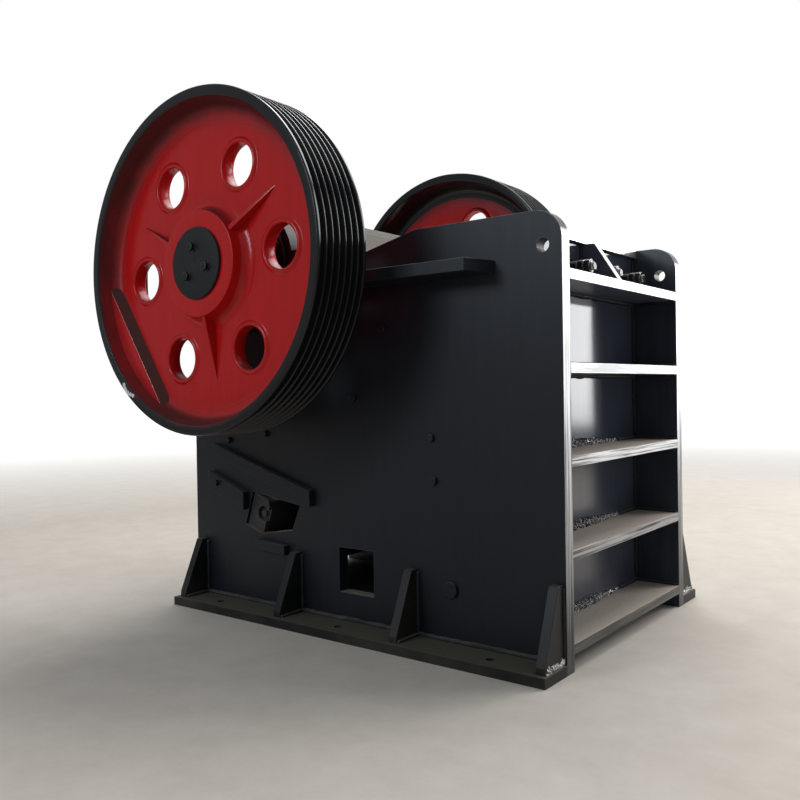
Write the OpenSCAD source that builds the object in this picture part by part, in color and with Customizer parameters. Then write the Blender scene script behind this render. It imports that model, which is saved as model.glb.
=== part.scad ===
// Single toggle jaw crusher with a welded plate frame, millimetres.
// x runs to the front wall, y across the machine, z up; the floor is z = 0.

/* [Frame] */
// width over the two side plates
frame_w = 1240; // [1160:10:1320]
// length of a side plate
frame_l = 2100; // [2060:10:2160]
// height of a side plate
frame_h = 1722; // [1700:1:1760]
// thickness of a side plate
plate_t = 60; // [50:1:66]
// radius of the upper front corner
corner_r = 112; // [80:1:130]
// flat length of the top edge
top_flat = 665; // [620:5:700]
// fall of the top edge behind the flat
top_slope = 13; // [10:0.5:15]
// depth of the cells in front of the front wall
cell_depth = 217; // [190:1:230]
// thickness of the front wall
wall_t = 60; // [50:1:70]
// thickness of a front rib
rib_t = 40; // [34:1:44]
// height of the cell above the top front rib
top_cell = 218; // [200:1:240]
// height of the lowest rib above the floor
rib_base = 64; // [50:1:80]

/* [Feet] */
// width of a foot flange
flange_w = 172; // [160:1:190]
// thickness of a foot flange
flange_t = 40; // [32:1:46]
// length of a foot flange
flange_l = 2080; // [2040:10:2090]
// diameter of a foot bolt hole
foot_hole_d = 34; // [28:1:40]
// distance between foot bolt holes
foot_hole_pitch = 770; // [740:5:800]
// thickness of a foot gusset
gusset_t = 40; // [32:1:44]
// height of the foot gussets
gusset_h = 275; // [250:5:330]

/* [Openings] */
// diameter of a lifting hole
lift_hole_d = 52; // [40:1:60]
// side of the square window
window_s = 200; // [180:1:220]
// width of the toggle window
toggle_win_w = 320; // [280:5:340]
// height of the toggle window
toggle_win_h = 160; // [140:1:180]

/* [Rotor] */
// outer diameter of the wheels
wheel_d = 1490; // [1440:5:1500]
// width over the two wheels
wheel_span = 2204; // [2200:1:2230]
// face width of a wheel
wheel_w = 284; // [276:1:286]
// belt groove pitch
groove_pitch = 37; // [36:0.5:38]
// belt groove depth
groove_h = 28; // [22:1:30]
// diameter of the wheel hub
hub_d = 464; // [430:1:480]
// diameter of a wheel window
hole_d = 185; // [160:1:195]
// circle of the wheel windows
hole_pcd = 900; // [880:1:920]
// diameter of the shaft at the bearings
journal_d = 260; // [240:1:270]
// throw of the eccentric
throw_e = 14; // [10:1:18]
// diameter of the bearing housings
housing_d = 580; // [560:1:600]

/* [Jaws] */
// gape between the jaw plates at the top
gape = 600; // [560:5:620]
// setting between the jaw plates at the bottom
setting = 110; // [80:1:140]
// thickness of a cheek plate
cheek_t = 80; // [60:1:90]
// pitch of the jaw plate teeth
tooth_pitch = 80; // [70:1:90]
// depth of the jaw plate teeth
tooth_h = 36; // [28:1:42]

/* [Hidden] */
rod_tail = 190;                   // rod behind the side plates
overall_l = frame_l + rod_tail;
fx = overall_l / 2;               // front face of the frame
rear_x = fx - frame_l;            // rear end of the side plates
in_w = frame_w - 2 * plate_t;     // width between the side plates
half_w = frame_w / 2;
wheel_r = wheel_d / 2;
wheel_y = wheel_span / 2;         // outer face of a wheel
axis_back = 1505;                 // shaft behind the front face
axis_drop = 101;                  // shaft below the plates' top
axis_x = fx - axis_back;
axis_z = frame_h - axis_drop;
fit = 0.3;                        // gap left at curved faces
run = 0.05;                       // running gap of a journal
clear = 6;                        // gap to moving pieces
wall_x = fx - cell_depth - wall_t;
housing_r = housing_d / 2;
slope_run = 550;
shoulder_z = frame_h - slope_run * tan(top_slope);
seat_x = fx - top_flat - slope_run;
seat_side = 60;                   // flat seat behind a housing
rear_drop = 542;                  // rear end of the plates' top below the front
rib_pitch = (frame_h - top_cell - rib_t - rib_base) / 4;
wall_over = 6;                    // front wall above the side plates
bar_h = 44;                       // bar along the top of the front wall
bar_t = 22;
bar_z = frame_h + wall_over - bar_h;

hub_r = hub_d / 2;
rim_face = 44;                    // rim at its face
rim_root = 71;                    // rim at the web
rim_in = wheel_r - rim_face;
rim_web = wheel_r - rim_root;
rim_edge = 4;                     // broken edges of the rim
land_t = 16;                      // half a groove's mouth
flare_a = 8;                      // steps of the hub's flare
flare_b = 26;
flare_c = 60;
flare_d = 22;
fly_turn = 9;                     // far wheel ahead of the near one
web_z = 100;                      // web below the rim face
web_t = 36;
hub_z = 32;                       // hub below the rim face
bore_r = 115;                     // wheel seat on the shaft
hole_r = hole_d / 2;
bead_w = 26;
bead_h = 10;
rib_tip = 506;
cap_r = 156;
cap_t = 12;
cap_bolt_c = 75;                  // bolt circle of the end disc
cap_bolt_r = 23;
cap_bolt_t = 18;
weight_set = 600;                 // chord of the counterweight
weight_h = 43;
spoke_t = 22;
spoke_drop = 14;                  // spokes below the hub face
hole_turn = 4;                    // turn of the first wheel window
hub_gap = 14;
hub_back = wheel_w - hub_gap;     // inner end of the hub

jaw_half = half_w - plate_t - cheek_t;
jaw_drop = 112;                   // jaw plates below the plates' top
jaw_top = frame_h - jaw_drop;
jaw_low = 330;
fixed_t = 90;
fixed_face = wall_x - fixed_t;    // tooth crests of the fixed jaw plate
swing_top_x = fixed_face - gape;
swing_low_x = fixed_face - setting;
swing_a = atan((swing_low_x - swing_top_x) / (jaw_top - jaw_low));
swing_l = (jaw_top - jaw_low) / cos(swing_a);
swing_t = 90;
head_r = 300;
body_gap = 20;
body_half = jaw_half - body_gap;
ecc_r = 150;
ecc_short = 30;
ecc_half = body_half - ecc_short;
beam_set = 355;                   // front of the toggle beam ahead of the plates' rear end
beam_x = rear_x + beam_set;
beam_z = 487;
beam_h = 300;
beam_d = 265;
beam_t = 40;

win_back = 1016;
win_x = fx - win_back;
win_z = 262;
seat_set = 377;                    // lower rear corner of the toggle seat, from the plates' rear end
seat_up = 417;
seat_tilt = 18.5;
seat_w = 112;
seat_gap = 5;                      // seat to the window's edges
win_fall = 46;                     // fall of the window's upper edge toward the front
// a point of the seat's end: u forward along its foot, v up along its back
function on_seat(u, v) = [rear_x + seat_set + u * cos(seat_tilt) + v * sin(seat_tilt),
  seat_up - u * sin(seat_tilt) + v * cos(seat_tilt)];
foot_mid = fx - flange_l / 2;
lug_w = 110;                      // ears of the bearing housings
gusset_front = 52;                // first gusset from the front face
gusset_rear = 22;                 // last gusset from the flange end
gusset_step = (flange_l - gusset_front - gusset_rear) / 3;
gusset_top = 40;                  // land at a gusset's top
gusset_toe = 24;
lift_back = 78;
lift_drop = 132;
lift_x = fx - lift_back;
lift_z = frame_h - lift_drop;

dark = [0.13, 0.15, 0.18];
red = [0.65, 0.15, 0.14];
steel = [0.45, 0.45, 0.46];
dust = [0.50, 0.48, 0.43];

// a plate drawn in the x z plane, thickness t from y = y0
module side(y0, t) {
  translate([0, y0 + t, 0]) rotate([90, 0, 0]) linear_extrude(t) children();
}

// a round bar along y from y0 to y1
module bar_y(x, z, r, y0, y1, n = 96) {
  translate([x, y1, z]) rotate([90, 0, 0]) cylinder(h = y1 - y0, r = r, $fn = n);
}

// a round bar along x from x0 to x1
module bar_x(y, z, r, x0, x1, n = 64) {
  translate([x0, y, z]) rotate([0, 90, 0]) cylinder(h = x1 - x0, r = r, $fn = n);
}

// the same piece on the far side
module far_side() {
  mirror([0, 1, 0]) children();
}

module plate_outline() {
  difference() {
    polygon([[fx, 0], [fx, frame_h], [fx - top_flat, frame_h], [seat_x, shoulder_z],
      [axis_x - housing_r - seat_side, shoulder_z], [rear_x, frame_h - rear_drop], [rear_x, 0]]);
    difference() {
      translate([fx - corner_r, frame_h - corner_r]) square(corner_r + 1);
      translate([fx - corner_r, frame_h - corner_r]) circle(corner_r, $fn = 64);
    }
  }
}

// window in line with the toggle seat, open in front of it
module toggle_window() {
  foot = on_seat(-seat_gap, -seat_gap);
  top = on_seat(-seat_gap, toggle_win_h + seat_gap);
  polygon([foot, on_seat(seat_w + seat_gap / 2, -seat_gap), foot + [toggle_win_w, -seat_gap],
    top + [toggle_win_w, -win_fall], top]);
}

module side_plate() {
  difference() {
    side(-half_w, plate_t) difference() {
      plate_outline();
      translate([win_x - window_s / 2, win_z - window_s / 2]) square(window_s);
      toggle_window();
    }
    bar_y(axis_x, axis_z, housing_r + fit, -half_w - 1, -half_w + plate_t + 1);
    bar_y(lift_x, lift_z, lift_hole_d / 2, -half_w - 1, -half_w + plate_t + 1, 64);
  }
}

module side_plate_left() color(dark) side_plate();
module side_plate_right() color(dark) far_side() side_plate();

module front_wall() color(dark)
  translate([wall_x, -in_w / 2, rib_base + rib_t])
    cube([wall_t, in_w, frame_h + wall_over - rib_base - rib_t]);

module front_rib(n) color(dark)
  translate([fx - cell_depth, -in_w / 2, rib_base + (n - 1) * rib_pitch])
    cube([cell_depth, in_w, rib_t]);

module front_rib_1() color(dark)
  translate([wall_x, -in_w / 2, rib_base]) cube([cell_depth + wall_t, in_w, rib_t]);
module front_rib_2() front_rib(2);
module front_rib_3() front_rib(3);
module front_rib_4() front_rib(4);
module front_rib_5() front_rib(5);

module wall_top_bar() color(dark)
  translate([fx - cell_depth, -in_w / 2, bar_z]) cube([bar_t, in_w, bar_h]);

top_rib_z = frame_h - top_cell;
brace_t = 45;
brace_low = 37;                    // foot of the brace behind the rib's edge
brace_high = 153;
brace_side = 12;                   // brace off the middle, toward the far side
module top_gusset() color(dark)
  side(brace_side - brace_t / 2, brace_t)
    polygon([[fx - cell_depth, top_rib_z], [fx - brace_low, top_rib_z], [fx - brace_high, bar_z],
      [fx - cell_depth, bar_z]]);

bolt_pitch = 273;
bolt_drop = 157;
bolt_z = frame_h - bolt_drop;
bolt_d = 36;
bolt_l = 125;
nut_r = 34;
nut_in = 50;                       // nuts stand off the wall on a sleeve
nut_out = 113;
pad_r = 44;
pad_t = 14;
module jaw_bolts() color(steel)
  for (i = [-1.5:1.5]) {
    bar_x(i * bolt_pitch, bolt_z, pad_r, fx - cell_depth, fx - cell_depth + pad_t, 48);
    bar_x(i * bolt_pitch, bolt_z, nut_r - 5, fx - cell_depth + pad_t, fx - cell_depth + nut_in, 48);
    bar_x(i * bolt_pitch, bolt_z, nut_r, fx - cell_depth + nut_in, fx - cell_depth + nut_out, 6);
    bar_x(i * bolt_pitch, bolt_z, bolt_d / 2, fx - cell_depth + nut_out, fx - cell_depth + bolt_l, 32);
  }

module foot() {
  difference() {
    translate([fx - flange_l, -half_w - flange_w, 0]) cube([flange_l, flange_w, flange_t]);
    for (i = [-1:1])
      translate([foot_mid + i * foot_hole_pitch, -half_w - 0.58 * flange_w, -1])
        cylinder(h = flange_t + 2, d = foot_hole_d, $fn = 48);
  }
}
module foot_left() color(dark) foot();
module foot_right() color(dark) far_side() foot();

module foot_gusset(x, top, reach)
  translate([x, -half_w, flange_t]) rotate([90, 0, 90])
    linear_extrude(gusset_t)
      polygon([[0, 0], [0, top], [-gusset_top, top], [-reach, gusset_toe], [-reach, 0]]);

module foot_gussets()
  for (i = [0:3])
    foot_gusset(fx - gusset_front - i * gusset_step, (i == 0 ? 1.07 : 1) * gusset_h, 0.86 * flange_w);
module foot_gussets_left() color(dark) foot_gussets();
module foot_gussets_right() color(dark) far_side() foot_gussets();

ledge_out = 150;
ledge_h = 50;
ledge_set = 285;                   // shelf behind the front face
ledge_splay = 44;                  // its front end runs back to the outer corner
ledge_drop = 217;                  // its underside below the plates' top
ledge_end = axis_x + housing_r + lug_w + fit;
ledge_x = fx - ledge_set;
ledge_z = frame_h - ledge_drop;
module ledge()
  translate([0, 0, ledge_z]) linear_extrude(ledge_h)
    polygon([[ledge_end, -half_w], [ledge_x, -half_w], [ledge_x - ledge_splay, -half_w - ledge_out],
      [ledge_end, -half_w - ledge_out]]);
module ledge_left() color(dark) ledge();
module ledge_right() color(dark) far_side() ledge();

guide_t = 34;
// a slanting bar on the side plate: each end's distance from the plates' rear end, height of
// its upper edge and depth of the bar there
module guide(x0, z0, h0, x1, z1, h1)
  side(-half_w - guide_t, guide_t)
    polygon([[rear_x + x0, z0 - h0], [rear_x + x0, z0], [rear_x + x1, z1], [rear_x + x1, z1 - h1]]);

plug_back = 512;
plug_z = 250;
plug_r = 34;
plug_t = 14;
head_bolt_r = 17;
head_bolt_t = 18;
// heads on the side plate, set from its rear end
fitting_bolts = [[263, 823], [525, 861]];
guide_bolt = [200, 610];            // head on the second bar
// heads that hold the cheek plate, set back from the front face
cheek_bolts = [[600, 862], [588, 686], [843, 1326], [1018, 1028]];
module side_fittings() {
  guide(172, 806, 52, 837, 607, 74);
  guide(130, 667, 88, 391, 574, 88);
  guide(470, 352, 46, 668, 338, 46);
  bar_y(rear_x + guide_bolt[0], guide_bolt[1], head_bolt_r, -half_w - guide_t - head_bolt_t,
    -half_w - guide_t, 6);
  bar_y(fx - plug_back, plug_z, plug_r, -half_w - plug_t, -half_w, 48);
  for (p = fitting_bolts)
    bar_y(rear_x + p[0], p[1], head_bolt_r, -half_w - head_bolt_t, -half_w, 6);
  for (p = cheek_bolts)
    bar_y(fx - p[0], p[1], head_bolt_r, -half_w - plug_t, -half_w, 32);
}
module side_fittings_left() color(dark) side_fittings();
module side_fittings_right() color(dark) far_side() side_fittings();

house_gap = 20;
wheel_gap = 36;
house_in = jaw_half + house_gap;   // inner end of a housing
house_out = wheel_y - wheel_w - wheel_gap; // outer end of a housing
lug_h = 60;
cap_nut_t = 34;
cap_nut_r = 36;
cap_stud_l = 56;
cap_stud_r = 20;
// lower half of a housing, split at the shaft height
module bearing_base() {
  difference() {
    union() {
      bar_y(axis_x, axis_z, housing_r, -house_out, -house_in);
      translate([axis_x - housing_r - lug_w, -house_out, axis_z - lug_h])
        cube([2 * (housing_r + lug_w), house_out - half_w, lug_h]);
    }
    translate([axis_x - housing_d, -house_out - 1, axis_z])
      cube([2 * housing_d, house_out, housing_d]);
    bar_y(axis_x, axis_z, journal_d / 2 + run, -house_out - 1, -house_in + 1);
  }
}
module bearing_cap() {
  difference() {
    union() {
      bar_y(axis_x, axis_z, housing_r, -house_out, -house_in);
      translate([axis_x - housing_r - lug_w, -house_out, axis_z])
        cube([2 * (housing_r + lug_w), house_out - half_w, lug_h]);
    }
    translate([axis_x - housing_d, -house_out - 1, axis_z - housing_d])
      cube([2 * housing_d, house_out, housing_d]);
    bar_y(axis_x, axis_z, journal_d / 2 + run, -house_out - 1, -house_in + 1);
  }
  for (s = [-1, 1])
    translate([axis_x + s * (housing_r + lug_w / 2), -(house_out + half_w) / 2, axis_z + lug_h]) {
      cylinder(h = cap_nut_t, r = cap_nut_r, $fn = 6);
      cylinder(h = cap_stud_l, r = cap_stud_r, $fn = 32);
    }
}
module bearing_base_left() color(dark) bearing_base();
module bearing_base_right() color(dark) far_side() bearing_base();
module bearing_cap_left() color(dark) bearing_cap();
module bearing_cap_right() color(dark) far_side() bearing_cap();

cover_t = 18;
cover_in = 30;
cover_bolt_in = 55;
cover_bolt_r = 14;
cover_bolt_t = 10;
module cover() {
  difference() {
    bar_y(axis_x, axis_z, housing_r - cover_in, -house_out - cover_t, -house_out);
    bar_y(axis_x, axis_z, journal_d / 2 + run, -house_out - cover_t - 1, -house_out + 1);
  }
  for (i = [0:7])
    bar_y(axis_x + (housing_r - cover_bolt_in) * cos(22.5 + 45 * i),
      axis_z + (housing_r - cover_bolt_in) * sin(22.5 + 45 * i),
      cover_bolt_r, -house_out - cover_t - cover_bolt_t, -house_out - cover_t, 6);
}
module cover_left() color(dark) cover();
module cover_right() color(dark) far_side() cover();

// box beam across the frame that carries the rear toggle seat
module toggle_beam() color(dark)
  difference() {
    translate([beam_x - beam_d, -in_w / 2, beam_z - beam_h / 2]) cube([beam_d, in_w, beam_h]);
    translate([beam_x - beam_d + beam_t, -in_w / 2 - 1, beam_z - beam_h / 2 + beam_t])
      cube([beam_d - 2 * beam_t, in_w + 2, beam_h - 2 * beam_t]);
  }

rear_t = 50;
rear_over = 80;                    // rear wall's top below the plates' rear end
rod_play = 10;
module rear_wall() color(dark)
  difference() {
    translate([rear_face, -in_w / 2, flange_t])
      cube([rear_t, in_w, frame_h - rear_drop - rear_over - flange_t]);
    bar_x(0, rod_z, rod_r + rod_play, rear_face - 1, rear_face + rear_t + 1);
  }

// toothed plate: teeth run up the face, crests on x = 0
module toothed(width, length, depth) {
  n = floor(width / tooth_pitch);
  m = (width - n * tooth_pitch) / 2;
  linear_extrude(length) translate([0, -width / 2])
    polygon(concat([[-depth, 0], [-tooth_h, 0]],
      [for (i = [0:n - 1]) for (k = [[0.1, -tooth_h], [0.4, 0], [0.6, 0], [0.9, -tooth_h]])
        [k[1], m + (i + k[0]) * tooth_pitch]],
      [[-tooth_h, width], [-depth, width]]));
}

jaw_lift = 20;
jaw_side = 2;
swing_side = 12;
module fixed_jaw() color(steel)
  translate([fixed_face, 0, jaw_low + jaw_lift]) mirror([1, 0, 0])
    toothed(2 * jaw_half - 2 * jaw_side, jaw_top - jaw_low, fixed_t);

cheek_over = 40;
cheek_under = 60;
cheek_back = 80;
module cheek()
  side(-in_w / 2, cheek_t)
    polygon([[wall_x, jaw_top + cheek_over], [swing_top_x + jaw_lift, jaw_top + cheek_over],
      [swing_low_x - cheek_back, jaw_low + cheek_under], [wall_x, jaw_low + cheek_under]]);
module cheek_left() color(steel) cheek();
module cheek_right() color(steel) far_side() cheek();

// face line of the swing jaw: origin at its lower end
module on_swing() translate([swing_low_x, 0, jaw_low]) rotate([0, -swing_a, 0]) children();

module swing_plate() color(steel)
  on_swing() toothed(2 * jaw_half - 2 * swing_side, swing_l - wedge_h - wedge_gap, swing_t);

back_t = 190;
wedge_h = 56;
wedge_gap = 4;
toe_back = 430;
toe_up = 60;
toe_s = 200;                       // square toe that carries the toggle seat
toe_x = swing_low_x - toe_back;
toe_z = jaw_low + toe_up;
lug_set = 30;
lug_s = 120;
lug_low = 46;
slot_in = 90;                      // slot in the toe for the toggle plate
slot_d = 60;
slot_h = 80;
lug_x = toe_x + lug_set;           // lug that takes the tension rod
rib_s = 72;                        // thickness of the swing jaw's ribs
rib_edge = 24;

// a point of the swing jaw's side view: a ahead of the face line, b up along it
function on_face(a, b) = [swing_low_x + a * cos(swing_a) - b * sin(swing_a),
  jaw_low + a * sin(swing_a) + b * cos(swing_a)];

module swing_core() {
  translate([axis_x, axis_z]) circle(head_r, $fn = 120);
  polygon([on_face(-swing_t, 0), on_face(-swing_t, swing_l), on_face(-swing_t - back_t, swing_l),
    on_face(-swing_t - back_t, 0)]);
  translate([toe_x, toe_z]) square(toe_s);
}

module swing_rib()
  polygon([[axis_x + head_r / 5, axis_z - 0.8 * head_r],
    on_face(-swing_t - back_t + lug_set, 0.88 * swing_l),
    on_face(-swing_t - back_t + lug_set, 0.1 * swing_l), [toe_x + lug_set, toe_z + 0.75 * toe_s],
    [axis_x - 0.43 * head_r, axis_z - 0.7 * head_r]]);

module swing_jaw() color(dark)
  difference() {
    union() {
      side(-body_half, 2 * body_half) swing_core();
      for (y = [-body_half + rib_edge, -rib_s / 2, body_half - rib_edge - rib_s]) side(y, rib_s) swing_rib();
      translate([lug_x, -lug_s / 2, rod_z - lug_low]) cube([lug_s, lug_s, toe_z + toe_up - rod_z + lug_low]);
    }
    bar_y(axis_x, axis_z, ecc_r + throw_e + clear, -body_half - 1, body_half + 1);
    translate([toe_x - 1, -body_half + slot_in, toe_z + toe_up])
      cube([slot_d + 1, 2 * (body_half - slot_in), slot_h]);
  }

module jaw_wedge() color(steel)
  on_swing() translate([-swing_t, -body_half + body_gap, swing_l - wedge_h])
    cube([0.78 * swing_t, 2 * (body_half - body_gap), wedge_h]);

guard_t = 22;
guard_back = 8;
guard_up = 10;
guard_over = 44;
guard_x = 1012;
guard_low = [swing_top_x - guard_back, jaw_top + guard_up];
guard_top = [fx - guard_x, frame_h + guard_over];
module guard_plate() color(dust)
  side(-in_w / 2, in_w)
    polygon([guard_low, [guard_low[0] - guard_t, guard_low[1]], [guard_top[0] - guard_t, guard_top[1]],
      guard_top]);

toggle_in = 100;
toggle_t = 52;
seat_front = toe_x + slot_d;
toe_mid = toe_z + toe_up + slot_h / 2;
groove_r = 39;
groove = on_seat(86, 85);
toggle_end = groove - [groove_r - toggle_t / 2 - fit, 0];
// plate between the swing jaw and the seat, with a rounded end in the seat's groove
module toggle_plate() color(steel)
  side(-body_half + toggle_in, 2 * (body_half - toggle_in)) {
    polygon([[seat_front, toe_mid - 0.42 * toggle_t], [seat_front, toe_mid + 0.42 * toggle_t],
      toggle_end + [0, toggle_t / 2], toggle_end - [0, toggle_t / 2]]);
    translate(toggle_end) circle(toggle_t / 2, $fn = 96);
  }

seat_r = 36;                       // round of the seat's upper front edge
seat_in = 12;                      // seat's ends below the side plates' outer faces
seat_play = 2;                     // gap of its back to the side plates
bolt_bed = 22;
seat_bolt_r = 15;
seat_bolt_in = 5;
module seat_end() {
  polygon([on_seat(0, 0), on_seat(seat_w, 0), on_seat(seat_w, toggle_win_h - seat_r),
    on_seat(seat_w - seat_r, toggle_win_h), on_seat(0, toggle_win_h)]);
  translate(on_seat(seat_w - seat_r, toggle_win_h - seat_r)) circle(seat_r, $fn = 96);
}

// tilted block across the frame from window to window, backed on the beam, with the plate's
// groove in front and a bolt in a round bed at each end
module toggle_seat() color(steel) {
  difference() {
    union() {
      side(-half_w + seat_in, 2 * (half_w - seat_in)) seat_end();
      side(-in_w / 2 + seat_play, in_w - 2 * seat_play)
        polygon([[beam_x, on_seat(0, 0)[1]], on_seat(0, 0), on_seat(0, toggle_win_h),
          [beam_x, on_seat(0, toggle_win_h)[1]]]);
    }
    side(-body_half + toggle_in / 2, 2 * (body_half - toggle_in / 2)) {
      translate(groove) circle(groove_r, $fn = 96);
      translate(groove - [0, groove_r]) square([seat_w, 2 * groove_r]);
    }
    for (s = [0, 1]) mirror([0, s, 0])
      bar_y(groove[0], groove[1], groove_r, -half_w + seat_in - 1, -half_w + seat_in + bolt_bed);
  }
  for (s = [0, 1]) mirror([0, s, 0])
    bar_y(groove[0], groove[1], seat_bolt_r, -half_w + seat_in + seat_bolt_in,
      -half_w + seat_in + bolt_bed, 6);
}

rod_z = 296;
rod_r = 24;
rear_inset = 20;
rear_face = rear_x + rear_inset;
washer_t = 12;
spring_l = 114;
coil_r = 9;
coil_set = 22;
washer_r = 62;
rod_nut_r = 40;
rod_nut_t = 34;
module tension_rod() color(steel) {
  bar_x(0, rod_z, rod_r, fx - overall_l, lug_x);
  bar_x(0, rod_z, washer_r, rear_face - 2 * washer_t - spring_l, rear_face - washer_t - spring_l);
  bar_x(0, rod_z, rod_nut_r, rear_face - 2 * washer_t - spring_l - rod_nut_t,
    rear_face - 2 * washer_t - spring_l, 6);
}

// closed coils between the rear wall's washer and the rod's washer
module tension_spring() color(steel) {
  n = 6;
  gap = (spring_l - 2 * coil_r - 2 * fit) / n;
  for (i = [0:n])
    translate([rear_face - washer_t - fit - coil_r - i * gap, 0, rod_z]) rotate([0, 90, 0])
      rotate_extrude($fn = 64) translate([rod_r + coil_set, 0]) circle(coil_r, $fn = 32);
}

module rod_washer() color(steel)
  difference() {
    bar_x(0, rod_z, washer_r, rear_face - washer_t, rear_face);
    bar_x(0, rod_z, rod_r + rod_play, rear_face - washer_t - 1, rear_face + 1);
  }

// ---- rotor ----
module eccentric_shaft() color(steel) {
  for (s = [0, 1]) mirror([0, s, 0]) {
    bar_y(axis_x, axis_z, journal_d / 2, -(wheel_y - hub_back), -ecc_half);
    bar_y(axis_x, axis_z, bore_r - fit, -(wheel_y - hub_z), -(wheel_y - hub_back));
  }
  bar_y(axis_x + throw_e, axis_z, ecc_r, -ecc_half, ecc_half);
}

// rim with belt grooves, web and hub; z = 0 is the outer face
module wheel_profile() {
  edge = (wheel_w - 6 * groove_pitch) / 2;
  low_g = land_t - groove_h * tan(18);
  polygon(concat(
    [[bore_r, hub_z], [hub_r, hub_z], [hub_r + flare_a, hub_z + flare_a], [hub_r + flare_b, web_z - flare_d],
     [hub_r + flare_c, web_z], [rim_web, web_z], [rim_in, rim_edge], [rim_in + rim_edge, 0],
     [wheel_r - rim_edge, 0], [wheel_r, rim_edge]],
    [for (i = [0:6]) for (k = [[-land_t, 0], [-low_g, groove_h], [low_g, groove_h], [land_t, 0]])
      [wheel_r - k[1], edge + i * groove_pitch + k[0]]],
    [[wheel_r, wheel_w - rim_edge], [wheel_r - rim_edge, wheel_w], [rim_in + rim_edge, wheel_w],
     [rim_in, wheel_w - rim_edge], [rim_web, web_z + web_t], [hub_r + flare_c, web_z + web_t],
     [hub_r + flare_b, web_z + web_t + flare_d], [hub_r, hub_back], [bore_r, hub_back]]));
}

sink = 2;                          // overlap of raised pieces with the web
module wheel_body(turn) {
  difference() {
    rotate_extrude($fn = 180) wheel_profile();
    for (i = [0:5]) rotate([0, 0, hole_turn + 60 * i + turn])
      translate([hole_pcd / 2, 0, web_z - web_t]) cylinder(h = 3 * web_t, r = hole_r, $fn = 96);
  }
  for (i = [0:5]) rotate([0, 0, hole_turn + 60 * i + turn]) for (z = [web_z - bead_h, web_z + web_t - sink])
    translate([hole_pcd / 2, 0, z]) difference() {
      cylinder(h = bead_h + sink, r = hole_r + bead_w, $fn = 96);
      translate([0, 0, -1]) cylinder(h = bead_h + sink + 2, r = hole_r, $fn = 96);
    }
  for (i = [0:2]) rotate([0, 0, hole_turn + 30 + 120 * i + turn])
    translate([0, spoke_t / 2, 0]) rotate([90, 0, 0]) linear_extrude(spoke_t)
      polygon([[hub_r - sink, hub_z + spoke_drop], [hub_r + spoke_drop, hub_z + spoke_drop],
        [rib_tip, web_z - sink], [rib_tip, web_z + sink / 2], [hub_r - sink, web_z + sink / 2]]);
  rotate([0, 0, hole_turn + 210 + turn]) intersection() {
    translate([0, 0, web_z - weight_h]) cylinder(h = weight_h + sink / 2, r = rim_web + flare_a, $fn = 180);
    translate([weight_set, -wheel_r, 0]) cube([wheel_r, wheel_d, web_z + sink / 2]);
  }
}

// wheel angles run from x towards z
module on_axis() translate([axis_x, -wheel_y, axis_z]) rotate([-90, 0, 0]) mirror([0, 1, 0]) children();
module belt_wheel() color(red) on_axis() wheel_body(0);
module fly_wheel() color(red) far_side() on_axis() wheel_body(fly_turn);

module shaft_cap() {
  translate([0, 0, hub_z - cap_t]) cylinder(h = cap_t, r = cap_r, $fn = 96);
  for (i = [0:2]) rotate([0, 0, 104 + 120 * i]) translate([cap_bolt_c, 0, hub_z - cap_t - cap_bolt_t])
    cylinder(h = cap_bolt_t + sink, r = cap_bolt_r, $fn = 6);
}
module shaft_cap_left() color(dark) on_axis() shaft_cap();
module shaft_cap_right() color(dark) far_side() on_axis() shaft_cap();

side_plate_left();
side_plate_right();
front_wall();
front_rib_1();
front_rib_2();
front_rib_3();
front_rib_4();
front_rib_5();
wall_top_bar();
top_gusset();
jaw_bolts();
foot_left();
foot_right();
foot_gussets_left();
foot_gussets_right();
ledge_left();
ledge_right();
side_fittings_left();
side_fittings_right();
bearing_base_left();
bearing_base_right();
bearing_cap_left();
bearing_cap_right();
cover_left();
cover_right();
toggle_beam();
rear_wall();
fixed_jaw();
cheek_left();
cheek_right();
swing_jaw();
swing_plate();
jaw_wedge();
guard_plate();
toggle_plate();
toggle_seat();
tension_rod();
tension_spring();
rod_washer();
eccentric_shaft();
belt_wheel();
fly_wheel();
shaft_cap_left();
shaft_cap_right();
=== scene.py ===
import bpy
import bmesh
import math
import numpy as np
from mathutils import Matrix, Vector


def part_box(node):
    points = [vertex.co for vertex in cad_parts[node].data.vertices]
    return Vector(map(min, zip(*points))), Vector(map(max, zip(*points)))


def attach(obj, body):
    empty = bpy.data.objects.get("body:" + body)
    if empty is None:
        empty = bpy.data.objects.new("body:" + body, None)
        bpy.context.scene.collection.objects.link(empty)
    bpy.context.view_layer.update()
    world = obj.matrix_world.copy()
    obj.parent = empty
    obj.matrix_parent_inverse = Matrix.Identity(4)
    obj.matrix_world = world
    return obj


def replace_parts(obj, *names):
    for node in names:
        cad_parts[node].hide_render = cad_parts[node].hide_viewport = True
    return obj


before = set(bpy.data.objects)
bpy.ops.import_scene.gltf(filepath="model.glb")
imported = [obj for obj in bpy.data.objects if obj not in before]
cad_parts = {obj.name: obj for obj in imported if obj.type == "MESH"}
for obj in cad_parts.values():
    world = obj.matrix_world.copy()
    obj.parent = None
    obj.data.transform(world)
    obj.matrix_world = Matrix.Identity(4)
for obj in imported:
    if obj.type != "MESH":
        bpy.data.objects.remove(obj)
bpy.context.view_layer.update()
rng = np.random.default_rng(11)
print("stage: frame loaded")

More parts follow.
